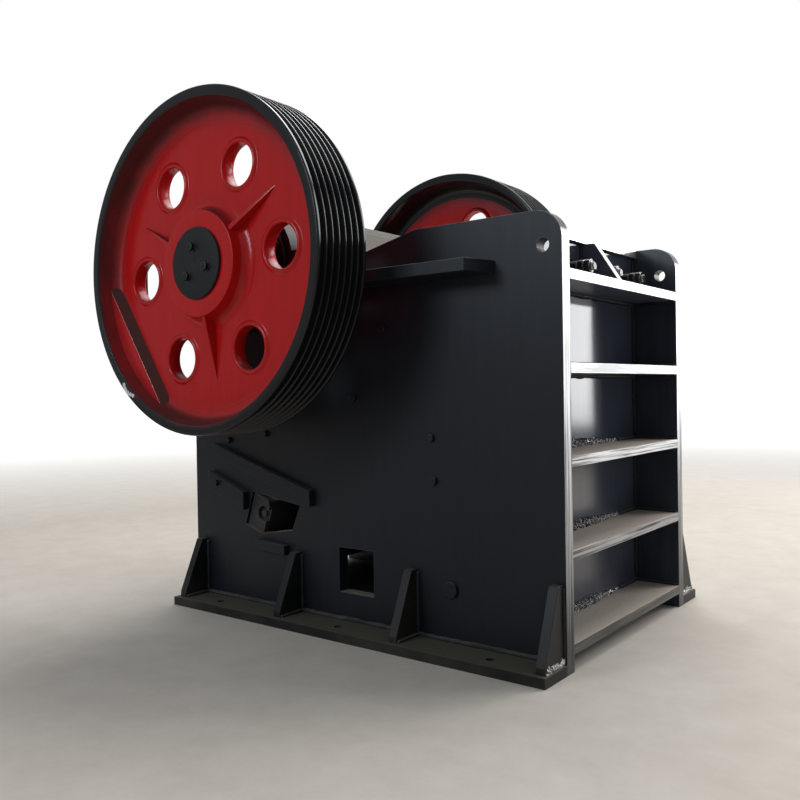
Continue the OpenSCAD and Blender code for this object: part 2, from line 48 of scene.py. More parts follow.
# Places taken from the CAD frame.
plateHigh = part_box("side_plate_left")[1]
farLow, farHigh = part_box("side_plate_right")
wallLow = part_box("front_wall")[0]
footLow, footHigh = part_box("foot_left")
wheelLow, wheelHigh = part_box("belt_wheel")
frontX = plateHigh.x
innerY = farLow.y                      # inner face of the far side plate
outerY = farHigh.y
axisX = (wheelLow.x + wheelHigh.x) / 2
axisZ = (wheelLow.z + wheelHigh.z) / 2
wheelR = (wheelHigh.x - wheelLow.x) / 2
wheelFaceY = -wheelLow.y
wheelWide = wheelHigh.y - wheelLow.y
backY = wheelFaceY - 0.118             # middle of the web


# Node helpers.
# Links an input to a socket, or sets it to a plain value.
def feed(tree, target, value):
    if hasattr(value, "is_output"):
        tree.links.new(value, target)
    else:
        target.default_value = value


# One node; links is a list of (input name or index, socket or value).
def addNode(tree, kind, links=()):
    made = tree.nodes.new(kind)
    for key, value in links:
        feed(tree, made.inputs[key], value)
    return made


# A math node; the three below it are a sum, a difference and a product.
def mathNode(tree, operation, *values, clamp=False):
    made = addNode(tree, "ShaderNodeMath", enumerate(values))
    made.operation, made.use_clamp = operation, clamp
    return made.outputs[0]


def plus(tree, a, b, clamp=False):
    return mathNode(tree, "ADD", a, b, clamp=clamp)


def minus(tree, a, b, clamp=False):
    return mathNode(tree, "SUBTRACT", a, b, clamp=clamp)


def times(tree, a, b, clamp=False):
    return mathNode(tree, "MULTIPLY", a, b, clamp=clamp)


# One number from vectors: their dot product or distance, or the length of one.
def vectorMath(tree, operation, *vectors):
    made = addNode(tree, "ShaderNodeVectorMath", enumerate(vectors))
    made.operation = operation
    return made.outputs["Value"]


# X, Y and Z of a vector.
def splitXyz(tree, vector):
    return addNode(tree, "ShaderNodeSeparateXYZ", [("Vector", vector)]).outputs


# A vector times a scale along each axis, which draws a noise out along the smallest one.
def stretched(tree, vector, scale):
    return addNode(tree, "ShaderNodeMapping", [("Vector", vector), ("Scale", scale)]).outputs["Vector"]


# Noise from 0 to 1, its scale in waves to the metre.
def noiseNode(tree, vector, scale, detail, rough):
    links = [("Vector", vector), ("Scale", scale), ("Detail", detail), ("Roughness", rough)]
    return addNode(tree, "ShaderNodeTexNoise", links).outputs["Fac"]


# Brings a value from low to high onto 0 to 1.
def rampNode(tree, value, low, high):
    made = addNode(tree, "ShaderNodeMapRange", [("Value", value), ("From Min", low), ("From Max", high)])
    made.clamp = True
    return made.outputs["Result"]


# Colour a where the mask is 0, and b where it is 1.
def mixColour(tree, mask, a, b):
    made = addNode(tree, "ShaderNodeMix")
    made.data_type = "RGBA"
    for index, value in ((0, mask), (6, a), (7, b)):
        feed(tree, made.inputs[index], value)
    return made.outputs[2]


def faceNormal(tree):
    return addNode(tree, "ShaderNodeNewGeometry").outputs["Normal"]


# Shader groups.
# Inputs are a dictionary of numbers and vectors, beside Vector itself; outputs are a list of names.
def newGroup(name, inputs, outputs):
    group = bpy.data.node_groups.new(name, "ShaderNodeTree")
    for label, value in dict(Vector=(0, 0, 0), **inputs).items():
        kind = "NodeSocketVector" if isinstance(value, tuple) else "NodeSocketFloat"
        group.interface.new_socket(name=label, in_out="INPUT", socket_type=kind).default_value = value
    for label in outputs:
        group.interface.new_socket(name=label, in_out="OUTPUT", socket_type="NodeSocketFloat")
    return group, group.nodes.new("NodeGroupInput").outputs, group.nodes.new("NodeGroupOutput").inputs


# Mask of worn edges: one minus the cosine between the face normal and a rounded normal, broken up by noise.
def buildEdgeWear():
    tree, source, sink = newGroup("edgeWear", dict(Width=0.006, Amount=0.5, Scale=14.0), ["Mask"])
    rounded = addNode(tree, "ShaderNodeBevel", [("Radius", source["Width"])])
    rounded.samples = 4
    edge = minus(tree, 1.0, vectorMath(tree, "DOT_PRODUCT", rounded.outputs["Normal"], faceNormal(tree)))
    breakup = noiseNode(tree, source["Vector"], source["Scale"], 6.0, 0.65)
    mixed = plus(tree, times(tree, edge, 6.0), times(tree, breakup, 1.1))
    feed(tree, sink["Mask"], rampNode(tree, mixed, minus(tree, 1.75, source["Amount"]), 2.0))
    return tree


# Dust lies where a face looks up and thins out on walls and with height, in soft patches.
def buildDust():
    tree, source, sink = newGroup("settledDust", dict(Top=0.8, Low=0.4, Reach=0.7, Steep=0.55, Scale=3.0), ["Mask"])
    facing, height = splitXyz(tree, faceNormal(tree))["Z"], splitXyz(tree, source["Vector"])["Z"]
    soft = noiseNode(tree, source["Vector"], source["Scale"], 5.0, 0.6)
    fine = noiseNode(tree, source["Vector"], 60.0, 3.0, 0.6)
    lean = plus(tree, facing, times(tree, soft, 0.25))
    upper = times(tree, rampNode(tree, lean, source["Steep"], plus(tree, source["Steep"], 0.45)), source["Top"])
    near = minus(tree, 1.0, mathNode(tree, "DIVIDE", height, source["Reach"]), clamp=True)
    lower = times(tree, times(tree, near, rampNode(tree, soft, 0.35, 0.75)), source["Low"])
    grain = plus(tree, 0.75, times(tree, fine, 0.5))
    feed(tree, sink["Mask"], times(tree, mathNode(tree, "MAXIMUM", upper, lower), grain, clamp=True))
    return tree


# Height and tone of brushed enamel: faint upright runs, orange peel, slow waves of the plate and cast grain,
# each a noise times its share.
def buildPaintSkin():
    tree, source, sink = newGroup("paintSkin", dict(Peel=1.0, Cast=0.0, Waves=1.0, Runs=0.5), ["Height", "Tone"])
    vector = source["Vector"]
    runs = noiseNode(tree, stretched(tree, vector, (9.0, 9.0, 0.9)), 3.0, 4.0, 0.6)
    peel = noiseNode(tree, vector, 420.0, 2.0, 0.5)
    waves = noiseNode(tree, vector, 2.6, 2.0, 0.4)
    cast = noiseNode(tree, vector, 75.0, 3.0, 0.6)
    layers = [(peel, "Peel", 0.05), (waves, "Waves", 3.0), (runs, "Runs", 0.12), (cast, "Cast", 0.9)]
    a, b, c, d = [times(tree, times(tree, noise, source[label]), high) for noise, label, high in layers]
    feed(tree, sink["Height"], plus(tree, plus(tree, a, b), plus(tree, c, d)))
    feed(tree, sink["Tone"], runs)
    return tree


# Mask of the sawn plate edges that face the front, and their tone: streaks that run upright on the side plates
# and level on the ribs, paler with height and plain pale at the top, a painted highlight of the light on the upper
# edges.
def buildCutEdgeGlare():
    tree, source, sink = newGroup("cutEdgeGlare", dict(Front=1.0, Inner=0.5, Amount=0.5), ["Mask", "Tone"])
    vector = source["Vector"]
    place = splitXyz(tree, vector)
    near = rampNode(tree, place["X"], minus(tree, source["Front"], 0.008), minus(tree, source["Front"], 0.002))
    facing = rampNode(tree, splitXyz(tree, faceNormal(tree))["X"], 0.35, 0.75)
    level = noiseNode(tree, stretched(tree, vector, (1.0, 2.4, 110.0)), 1.0, 4.0, 0.55)
    upright = noiseNode(tree, stretched(tree, vector, (1.0, 120.0, 1.8)), 1.0, 5.0, 0.6)
    aside = mathNode(tree, "ABSOLUTE", place["Y"])
    onPlate = rampNode(tree, aside, source["Inner"], plus(tree, source["Inner"], 0.001))
    pick = addNode(tree, "ShaderNodeMix", [(0, onPlate), (2, level), (3, upright)]).outputs[0]
    streak = rampNode(tree, pick, 0.36, 0.56)
    spots = rampNode(tree, noiseNode(tree, vector, 9.0, 6.0, 0.75), 0.12, 0.30)
    # Painted highlight: the tone grows paler with height, and above 1.5 m the streaks give way to plain pale steel.
    paintedGlare = plus(tree, 0.10, times(tree, rampNode(tree, place["Z"], 0.12, 1.08), 0.90))
    streakAndGlare = mathNode(tree, "MAXIMUM", streak, rampNode(tree, place["Z"], 0.8, 1.5))
    feed(tree, sink["Tone"], times(tree, streakAndGlare, paintedGlare, clamp=True))
    mask = times(tree, times(tree, near, facing), spots)
    feed(tree, sink["Mask"], times(tree, mask, source["Amount"], clamp=True))
    return tree


# Mask of one chip: its size, made ragged by noise, less the distance to its place.
def buildChips():
    tree, source, sink = newGroup("paintChips", dict(Place=(0, 0, 0), Size=0.01), ["Mask"])
    apart = vectorMath(tree, "DISTANCE", source["Vector"], source["Place"])
    ragged = noiseNode(tree, source["Vector"], 150.0, 3.0, 0.6)
    reach = times(tree, source["Size"], plus(tree, 0.35, times(tree, ragged, 1.5)))
    feed(tree, sink["Mask"], rampNode(tree, minus(tree, reach, apart), 0.0, 0.0015))
    return tree


edgeWear, settledDust, paintSkin, cutEdgeGlare = buildEdgeWear(), buildDust(), buildPaintSkin(), buildCutEdgeGlare()
paintChips = buildChips()


# A group placed in a material with its own values.
def useGroup(tree, group, coords, **values):
    made = addNode(tree, "ShaderNodeGroup")
    made.node_tree = group
    for key, value in dict(Vector=coords, **values).items():
        feed(tree, made.inputs[key], value)
    return made.outputs


# An empty material with its shader, and the Object coordinates.
def startMaterial(name):
    material = bpy.data.materials.new(name)
    material.use_nodes = True
    tree = material.node_tree
    tree.nodes.clear()
    shader = addNode(tree, "ShaderNodeBsdfPrincipled")
    addNode(tree, "ShaderNodeOutputMaterial", [("Surface", shader.outputs["BSDF"])])
    return material, tree, shader, addNode(tree, "ShaderNodeTexCoord").outputs["Object"]


# Tilts the shader's normal by the slope of a height.
def addBump(tree, shader, height, strength, deep):
    bump = addNode(tree, "ShaderNodeBump", [("Height", height), ("Strength", strength), ("Distance", deep)])
    feed(tree, shader.inputs["Normal"], bump.outputs["Normal"])


plainPaint = dict(steep=0.55, low=0.0, reach=0.5, wear=0.0, cut=0.0, cast=0.0, runs=0.0, deep=0.72, matt=0.0,
                  front=frontX, over=None, under=None, dull=None, chipped=False, dustScale=3.2, dustRough=0.5,
                  toneRough=0.06, bump=0.35, bumpDeep=0.002)
paintLooks = {
    "frameBlue": dict(colour=(0.0084, 0.0112, 0.0185, 1), dusty=(0.20, 0.175, 0.14, 1), metal=(0.16, 0.165, 0.175, 1),
                      rough=0.40, shine=0.30, top=0.88, low=0.03, reach=0.55, wear=0.30, cut=0.95,
                      peel=1.2, waves=0.7, runs=0.8, deep=0.45),
    # A lighter copy of the frame's blue-black paint, painted light for the glow on the front wall.
    "wallBlue": dict(colour=(0.056, 0.068, 0.098, 1), dusty=(0.43, 0.36, 0.30, 1), metal=(0.16, 0.165, 0.175, 1),
                     rough=0.055, shine=0.50, top=0.92, low=0.10, reach=0.80, wear=0.20, cut=0.95,
                     peel=0.5, waves=0.25, runs=0.3, dull=(1.45, 0.35, 0.11)),
    "footBlue": dict(colour=(0.0080, 0.0086, 0.0092, 1), dusty=(0.088, 0.080, 0.062, 1), metal=(0.10, 0.10, 0.10, 1),
                     rough=0.36, shine=0.22, top=0.85, low=0.45, reach=0.45, wear=0.34,
                     peel=1.6, waves=0.5, runs=0.6),
    "weldPaint": dict(colour=(0.008, 0.010, 0.014, 1), dusty=(0.11, 0.098, 0.080, 1),
                      rough=0.30, shine=0.30, top=0.75, low=0.10, reach=0.60, peel=3.0, waves=0.0),
    # Its dark dust is partly painted shade on up-facing parts; over darkens the red towards the rim as overspray and
    # painted shade.
    "wheelRed": dict(colour=(0.53, 0.009, 0.010, 1), dusty=(0.036, 0.016, 0.015, 1), metal=(0.40, 0.20, 0.18, 1),
                     rough=0.15, shine=0.27, top=0.75, steep=0.60, wear=0.10, peel=2.0, cast=0.55, waves=0.5,
                     over=(0.085, 0.007, 0.009, 1), spread=(0.150, 0.042), matt=0.4),
    # Its charcoal fades into a dark red further in by the same mask of overspray and painted shade.
    "rimCharcoal": dict(colour=(0.0095, 0.0095, 0.011, 1), dusty=(0.055, 0.050, 0.045, 1),
                        rough=0.12, shine=0.34, top=0.25, peel=1.5, waves=0.2, over=(0.0095, 0.0095, 0.011, 1),
                        under=(0.10, 0.008, 0.010, 1), spread=(0.100, 0.060), chipped=True),
    "capBlack": dict(colour=(0.0075, 0.0075, 0.009, 1), dusty=(0.05, 0.045, 0.04, 1), metal=(0.2, 0.2, 0.2, 1),
                     rough=0.42, shine=0.28, top=0.3, wear=0.1, peel=4.0, cast=0.4, waves=0.2),
    "bodyDark": dict(colour=(0.014, 0.016, 0.019, 1), dusty=(0.14, 0.125, 0.10, 1), metal=(0.25, 0.24, 0.23, 1),
                     rough=0.45, shine=0.35, top=0.75, low=0.2, reach=1.2, wear=0.3,
                     peel=6.0, cast=0.5, waves=0.3, runs=0.2),
    "guardDust": dict(colour=(0.27, 0.25, 0.21, 1), dusty=(0.40, 0.36, 0.29, 1), metal=(0.4, 0.38, 0.35, 1),
                      rough=0.6, shine=0.3, top=0.9, low=0.3, reach=2.2, wear=0.3,
                      peel=3.0, waves=0.3, runs=0.4),
}
# A lighter copy of the frame paint on the far plate, painted light for the haze on its inner face.
paintLooks["farBlueLit"] = dict(paintLooks["frameBlue"], colour=(0.032, 0.040, 0.056, 1), rough=0.22)
# The ribs and the gussets take the front wall's lighter paint, the same painted light.
paintLooks["ribBlueLit"] = dict(paintLooks["wallBlue"], rough=0.30, dull=None)
# Painted shade: a darkened copy of the wheel red on the counterweight's sloping wall, which lies in shade.
paintLooks["weightGrime"] = dict(paintLooks["wheelRed"], colour=(0.078, 0.019, 0.016, 1),
                                 over=(0.045, 0.012, 0.010, 1), top=0.3, wear=0.0)
paintLooks["boltBlue"] = dict(paintLooks["frameBlue"], colour=(0.012, 0.014, 0.020, 1), metal=(0.62, 0.63, 0.65, 1),
                              rough=0.12, cut=0.0, wear=0.46)
paintLooks["fittingBlue"] = dict(paintLooks["frameBlue"], top=0.25, wear=0.15)
paintLooks["gussetBlue"] = dict(paintLooks["wallBlue"], front=wallLow.x)    # its sloping front edge is bare too

# Sawn steel from dark to light by the cut edges' tone, whose fade with height is a painted highlight.
sawnEdge = {"dark": (0.05, 0.048, 0.045, 1), "light": (0.92, 0.93, 0.94, 1), "bare": 0.9, "rough": 0.14}
wornEdge = {"width": 0.006, "scale": 22.0, "bare": 0.8}
mistAndShade = {"scale": 9.0, "uneven": 0.05, "shadeAbove": 0.040, "behind": 0.045, "power": 1.7}    # the rim's paint on the red, with painted shade under the rim
chip = {"places": [(-0.867, -1.102, 1.104), (-0.862, -1.098, 1.091), (-0.853, -1.100, 1.078), (-0.838, -1.102, 1.066),
                   (-0.818, -1.100, 1.058), (-0.800, -1.098, 1.053)],
        "size": 0.0100, "colour": (0.66, 0.64, 0.64, 1)}    # one knock on the rim of the near wheel


# Mask of overspray round the rim, partly painted shade in the recess under the rim: the distance from the shaft
# axis, made uneven by noise, longer above the axis as painted shade from the rim's overhang and longer behind the
# web, ramped over the spread and raised to a power.
def rimMistAndShade(tree, coords, spread):
    place = splitXyz(tree, coords)
    across, high = minus(tree, place["X"], axisX), minus(tree, place["Z"], axisZ)
    reach = mathNode(tree, "SQRT", plus(tree, times(tree, across, across), times(tree, high, high)))
    drift = times(tree, minus(tree, noiseNode(tree, coords, mistAndShade["scale"], 2.0, 0.5), 0.5), mistAndShade["uneven"])
    # Painted shade: the mask reaches further in above the axis, under the overhanging rim.
    drift = plus(tree, drift, times(tree, high, mistAndShade["shadeAbove"]))
    back = rampNode(tree, mathNode(tree, "ABSOLUTE", place["Y"]), backY + 0.004, backY - 0.004)
    drift = plus(tree, drift, times(tree, back, mistAndShade["behind"]))
    edge = rampNode(tree, plus(tree, reach, drift), wheelR - spread[0], wheelR - spread[1])
    return mathNode(tree, "POWER", edge, mistAndShade["power"])


# Enamel over steel: colour varied by the paint skin, bare steel on cut and worn edges with a painted highlight on the
# upper cut edges, overspray with painted shade round the rim, dust over it.
def paintMaterial(name, look):
    look = {**plainPaint, **look}
    material, tree, shader, coords = startMaterial(name)
    skin = useGroup(tree, paintSkin, coords, Peel=look["peel"], Cast=look["cast"], Waves=look["waves"],
                    Runs=look["runs"])
    dust = useGroup(tree, settledDust, coords, Top=look["top"], Low=look["low"], Reach=look["reach"],
                    Steep=look["steep"], Scale=look["dustScale"])["Mask"]
    deep = tuple(c * look["deep"] for c in look["colour"][:3]) + (1,)
    colour = mixColour(tree, skin["Tone"], look["colour"], deep)
    rough = plus(tree, look["rough"], times(tree, skin["Tone"], look["toneRough"]))
    bare = None
    if look["wear"]:
        worn = useGroup(tree, edgeWear, coords, Width=wornEdge["width"], Amount=look["wear"],
                        Scale=wornEdge["scale"])["Mask"]
        colour = mixColour(tree, worn, colour, look["metal"])
        bare = times(tree, worn, wornEdge["bare"])
    # Overspray round the rim, partly painted shade in the recess under the rim.
    if look["over"]:
        edge = rimMistAndShade(tree, coords, look["spread"])
        colour = mixColour(tree, edge, look["under"] or colour, look["over"])
        rough = plus(tree, rough, times(tree, edge, look["matt"]))
    if look["chipped"]:
        for spot in chip["places"]:
            mark = useGroup(tree, paintChips, coords, Place=spot, Size=chip["size"])["Mask"]
            colour = mixColour(tree, mark, colour, chip["colour"])
    if look["dull"]:                          # the paint is duller lower down
        top, foot, more = look["dull"]
        rough = plus(tree, rough, times(tree, rampNode(tree, splitXyz(tree, coords)["Z"], top, foot), more))
    # Sawn edges in bare steel, their tone paler with height as a painted highlight.
    if look["cut"]:
        sawnAndGlare = useGroup(tree, cutEdgeGlare, coords, Front=look["front"], Inner=innerY, Amount=look["cut"])
        steel = mixColour(tree, sawnAndGlare["Tone"], sawnEdge["dark"], sawnEdge["light"])
        colour = mixColour(tree, sawnAndGlare["Mask"], colour, steel)
        bare = mathNode(tree, "MAXIMUM", bare, times(tree, sawnAndGlare["Mask"], sawnEdge["bare"]))
        rough = plus(tree, rough, times(tree, sawnAndGlare["Mask"], sawnEdge["rough"]))
    feed(tree, shader.inputs["Base Color"], mixColour(tree, dust, colour, look["dusty"]))
    shader.inputs["Specular IOR Level"].default_value = look["shine"]
    feed(tree, shader.inputs["Roughness"], plus(tree, rough, times(tree, dust, look["dustRough"]), clamp=True))
    if bare is not None:
        feed(tree, shader.inputs["Metallic"], minus(tree, bare, dust, clamp=True))
    addBump(tree, shader, skin["Height"], look["bump"], look["bumpDeep"])
    return material


plainMetal = dict(low=0.3, high=0.7, dust=0.5, dustLow=0.3, dustReach=1.0, dustSteep=0.55, dustScale=4.0,
                  dustRough=0.4, dusty=(0.26, 0.23, 0.185, 1), grainRough=0.2, bump=0.4, bumpDeep=0.0008)
metalLooks = {
    # Bare weld speckled white and near black: the speckle is partly painted glints.
    "weldSilverGlints": dict(light=(0.97, 0.97, 0.96, 1), dark=(0.012, 0.012, 0.015, 1), rough=0.14, metallic=1.0,
                       scale=170.0, grain=272.0, low=0.48, high=0.55, dust=0.10, bump=1.0, bumpDeep=0.0025),
    "jawSteel": dict(light=(0.20, 0.18, 0.165, 1), dark=(0.085, 0.062, 0.045, 1), rough=0.5, metallic=0.7,
                     scale=9.0, grain=162.0),
    "bareSteel": dict(light=(0.42, 0.42, 0.42, 1), dark=(0.20, 0.19, 0.18, 1), rough=0.3, metallic=0.95,
                      scale=14.0, grain=252.0),
}


# Bare metal, light and dark by noise, with a fine rough grain.
def metalMaterial(name, look):
    look = {**plainMetal, **look}
    material, tree, shader, coords = startMaterial(name)
    blotch = rampNode(tree, noiseNode(tree, coords, look["scale"], 6.0, 0.65), look["low"], look["high"])
    grain = noiseNode(tree, coords, look["grain"], 3.0, 0.6)
    dust = useGroup(tree, settledDust, coords, Top=look["dust"], Low=look["dustLow"], Reach=look["dustReach"],
                    Steep=look["dustSteep"], Scale=look["dustScale"])["Mask"]
    colour = mixColour(tree, blotch, look["dark"], look["light"])
    feed(tree, shader.inputs["Base Color"], mixColour(tree, dust, colour, look["dusty"]))
    rough = plus(tree, look["rough"], times(tree, grain, look["grainRough"]))
    feed(tree, shader.inputs["Roughness"], plus(tree, rough, times(tree, dust, look["dustRough"]), clamp=True))
    feed(tree, shader.inputs["Metallic"], minus(tree, look["metallic"], dust, clamp=True))
    addBump(tree, shader, grain, look["bump"], look["bumpDeep"])
    return material


materials = {name: paintMaterial(name, look) for name, look in paintLooks.items()}
materials.update({name: metalMaterial(name, look) for name, look in metalLooks.items()})
print("stage: materials")


# Mesh helpers.
# Puts a mesh in the scene as a piece that rides on a body.
def showPiece(name, mesh, body, smooth):
    mesh.polygons.foreach_set("use_smooth", np.ones(len(mesh.polygons), bool))
    mesh.set_sharp_from_angle(angle=math.radians(smooth))
    piece = bpy.data.objects.new(name, mesh)
    bpy.context.scene.collection.objects.link(piece)
    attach(piece, body)
    return piece


# Object at the origin from an (n, 3) array and blocks of faces; doubles merged and normals outward.
def finishMesh(name, points, blocks, looks, body, slot, faceLook=None, smooth=38):
    mesh = bpy.data.meshes.new(name)
    mesh.from_pydata(points.tolist(), [], [face for block in blocks for face in block.tolist()])
    for look in looks:
        mesh.materials.append(materials[look])
    if faceLook is not None:
        mesh.polygons.foreach_set("material_index", faceLook.astype(np.int32))
    work = bmesh.new()
    work.from_mesh(mesh)
    bmesh.ops.remove_doubles(work, verts=work.verts, dist=1e-6)
    bmesh.ops.recalc_face_normals(work, faces=work.faces)
    work.to_mesh(mesh)
    work.free()
    return showPiece(name, mesh, body, smooth)


# Rounds the edges that are sharper than the angle.
def addBevel(piece, width, segments=3, angle=32):
    bevel = piece.modifiers.new("brokenEdge", "BEVEL")
    bevel.width, bevel.segments, bevel.limit_method = width, segments, "ANGLE"
    bevel.angle_limit, bevel.harden_normals = math.radians(angle), True
    return piece


# Several meshes as one, each with its faces counted on from the last one's points.
def joinParts(parts):
    points, blocks, count = [], [], 0
    for partPoints, partBlocks in parts:
        points.append(partPoints)
        blocks += [block + count for block in partBlocks]
        count += len(partPoints)
    return np.concatenate(points), blocks


# Quads between neighbouring rings of a (rings, around) grid whose second direction closes on itself.
def ringFaces(rings, around, closed=True):
    rows = rings if closed else rings - 1
    i, j = np.meshgrid(np.arange(rows), np.arange(around), indexing="ij")
    nextI, nextJ = (i + 1) % rings, (j + 1) % around
    quads = [i * around + j, nextI * around + j, nextI * around + nextJ, i * around + nextJ]
    return np.stack(quads, -1).reshape(-1, 4)


# Faces of a prism between two outlines of n points: both ends, then the sides.
def prismFaces(n):
    i = np.arange(n)
    after = (i + 1) % n
    return [np.stack([i, 2 * n - 1 - i]), np.stack([i, after, n + after, n + i], -1)]


# Closed outline with each corner (x, y, radius) replaced by a curve tangent to both sides, in more steps where
# the radius is over 20 mm.
def roundedOutline(corners, steps=4, broad=12):
    xy = np.array([c[:2] for c in corners], float)
    radius = np.array([c[2] for c in corners], float)
    before, after = np.roll(xy, 1, 0) - xy, np.roll(xy, -1, 0) - xy
    before /= np.linalg.norm(before, axis=1, keepdims=True)
    after /= np.linalg.norm(after, axis=1, keepdims=True)
    turn = np.arccos(np.clip((before * after).sum(1), -1, 1))
    cut = radius / np.tan(turn / 2)
    start, end = xy + before * cut[:, None], xy + after * cut[:, None]
    curves = []
    for a, mid, b, r in zip(start, xy, end, radius):
        t = np.linspace(0, 1, broad if r > 0.02 else steps)[:, None]
        curves.append(a * (1 - t) ** 2 + 2 * mid * t * (1 - t) + b * t ** 2)
    return np.concatenate(curves)


# A copy of a CAD node's mesh with its loose triangles merged and flat faces joined.
def mergedCopy(node):
    work = bmesh.new()
    work.from_mesh(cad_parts[node].data)
    bmesh.ops.remove_doubles(work, verts=work.verts, dist=1e-6)
    bmesh.ops.dissolve_limit(work, angle_limit=math.radians(0.5), verts=work.verts, edges=work.edges)
    mesh = bpy.data.meshes.new(node + "Dressed")
    work.to_mesh(mesh)
    work.free()
    return mesh


# Stands for a CAD node: the same solid with its sharp edges broken by a small round.
def dressNode(node, look, edge):
    mesh = mergedCopy(node)
    mesh.materials.clear()
    mesh.materials.append(materials[look])
    first, *others = node.split("_")
    piece = showPiece(first + "".join(word.title() for word in others), mesh, "frame", 32)
    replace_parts(addBevel(piece, edge, 2), node)


# Plates and castings kept from the CAD: look, slot and the width of the broken edge.
paint, steel = "frame_paint", "jaw_steel"
dressed = {
    "side_plate_left": ("frameBlue", paint, 0.003), "side_plate_right": ("farBlueLit", paint, 0.003),
    "front_wall": ("wallBlue", paint, 0.002), "wall_top_bar": ("gussetBlue", paint, 0.002),
    "top_gusset": ("gussetBlue", paint, 0.002),
    "foot_left": ("footBlue", paint, 0.003), "foot_right": ("footBlue", paint, 0.003),
    "foot_gussets_left": ("footBlue", paint, 0.002), "foot_gussets_right": ("footBlue", paint, 0.002),
    "ledge_left": ("fittingBlue", paint, 0.003), "ledge_right": ("fittingBlue", paint, 0.003),
    "side_fittings_left": ("fittingBlue", paint, 0.003), "side_fittings_right": ("fittingBlue", paint, 0.003),
    "bearing_base_left": ("frameBlue", paint, 0.003), "bearing_base_right": ("frameBlue", paint, 0.003),
    "bearing_cap_left": ("frameBlue", paint, 0.003), "bearing_cap_right": ("frameBlue", paint, 0.003),
    "cover_left": ("frameBlue", paint, 0.002), "cover_right": ("frameBlue", paint, 0.002),
    "toggle_beam": ("frameBlue", paint, 0.003), "rear_wall": ("frameBlue", paint, 0.003),
    "fixed_jaw": ("jawSteel", steel, 0.003), "swing_plate": ("jawSteel", steel, 0.003),
    "cheek_left": ("jawSteel", steel, 0.003), "cheek_right": ("jawSteel", steel, 0.003),
    "swing_jaw": ("bodyDark", "swing_paint", 0.004), "jaw_wedge": ("jawSteel", steel, 0.002),
    "guard_plate": ("guardDust", "guard_paint", 0.002), "toggle_plate": ("jawSteel", steel, 0.003),
    "toggle_seat": ("bodyDark", steel, 0.003), "tension_rod": ("bareSteel", "bare_steel", 0.001),
    "rod_washer": ("bareSteel", "bare_steel", 0.001),
}
for number in range(1, 6):
    dressed[f"front_rib_{number}"] = ("ribBlueLit", paint, 0.002)
for node, (look, slot, edge) in dressed.items():
    dressNode(node, look, edge)
for node in ("eccentric_shaft", "tension_spring"):
    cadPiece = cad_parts[node]
    cadPiece.data.materials.clear()
    cadPiece.data.materials.append(materials["bareSteel"])
print("stage: plates")


# Wheels.
wheel = {
    "rim": 0.044, "rimWeb": 0.071, "webDepth": 0.100, "webThick": 0.036, "pitch": 0.037, "groove": 0.028,
    "grooveTop": 0.016, "grooveSlope": 18, "grooves": 7, "hubR": 0.232, "hubDepth": 0.032, "hubBack": 0.0145,
    "boreR": 0.1145, "holes": 6, "holeR": 0.0925, "holeCircle": 0.450, "holeTurn": 4.0, "farTurn": 9.0,
    "bead": 0.028, "beadHigh": 0.0095, "beadBack": 0.024, "beadRise": 0.009, "beadFall": 0.017, "ribs": 3,
    "ribTurn": 30, "ribTip": 0.506, "ribThick": 0.020, "ribTipThin": 0.3, "weightTurn": 210, "weightSet": 0.600,
    "weightSlope": 0.031, "weightHigh": 0.043, "fillet": 0.055, "lap": 0.0003, "rimFoot": 0.050, "hubFoot": 0.072,
    "facets": 240, "hubFacets": 120, "arcSteps": 32, "sideSteps": 16,
}


# Wheel coordinates (radius, angle, depth below the outer face) to the row frame; side is -1 near, 1 far.
def placeWheel(radius, angle, depth, side):
    angle = angle + (math.radians(wheel["farTurn"]) if side > 0 else 0.0)
    return np.stack([axisX + radius * np.cos(angle), side * (wheelFaceY - depth), axisZ + radius * np.sin(angle)], -1)


# A closed (radius, depth) outline turned round the shaft axis.
def latheRing(outline, side, count):
    angle = np.linspace(0, 2 * math.pi, count, endpoint=False)
    grid = placeWheel(outline[:, None, 0], angle[None, :], outline[:, None, 1] + 0 * angle[None, :], side)
    return grid.reshape(-1, 3), [ringFaces(len(outline), count)]


# Depths of the web's front and back, each a hair proud, where rim and hub lap over it.
def webSkins():
    w = wheel
    return w["webDepth"] - w["lap"], w["webDepth"] + w["webThick"] + w["lap"]


# Rim section: face, belt grooves on the tread, back face and the drafted inner wall.
def rimOutline():
    w, r = wheel, wheelR
    inner, webR = r - w["rim"], r - w["rimWeb"]
    front, back = webSkins()
    foot, lap = webR - w["rimFoot"], w["lap"]
    corners = [(foot - 0.002, front + 0.004, lap), (foot, front, lap), (webR, front, w["fillet"]),
               (inner, 0.004, 0.003), (inner + 0.004, 0.0, 0.002), (r - 0.004, 0.0, 0.003), (r, 0.005, 0.003)]
    edge = (wheelWide - (w["grooves"] - 1) * w["pitch"]) / 2
    low = w["grooveTop"] - w["groove"] * math.tan(math.radians(w["grooveSlope"]))
    for i in range(w["grooves"]):
        mid = edge + i * w["pitch"]
        corners += [(r, mid - w["grooveTop"], 0.0014), (r - w["groove"], mid - low, 0.0025),
                    (r - w["groove"], mid + low, 0.0025), (r, mid + w["grooveTop"], 0.0014)]
    corners += [(r, wheelWide - 0.005, 0.003), (r - 0.004, wheelWide, 0.003), (inner + 0.004, wheelWide, 0.002),
                (inner, wheelWide - 0.004, 0.003), (webR, back, w["fillet"]), (foot, back, lap),
                (foot - 0.002, back - 0.004, lap)]
    return roundedOutline(corners)


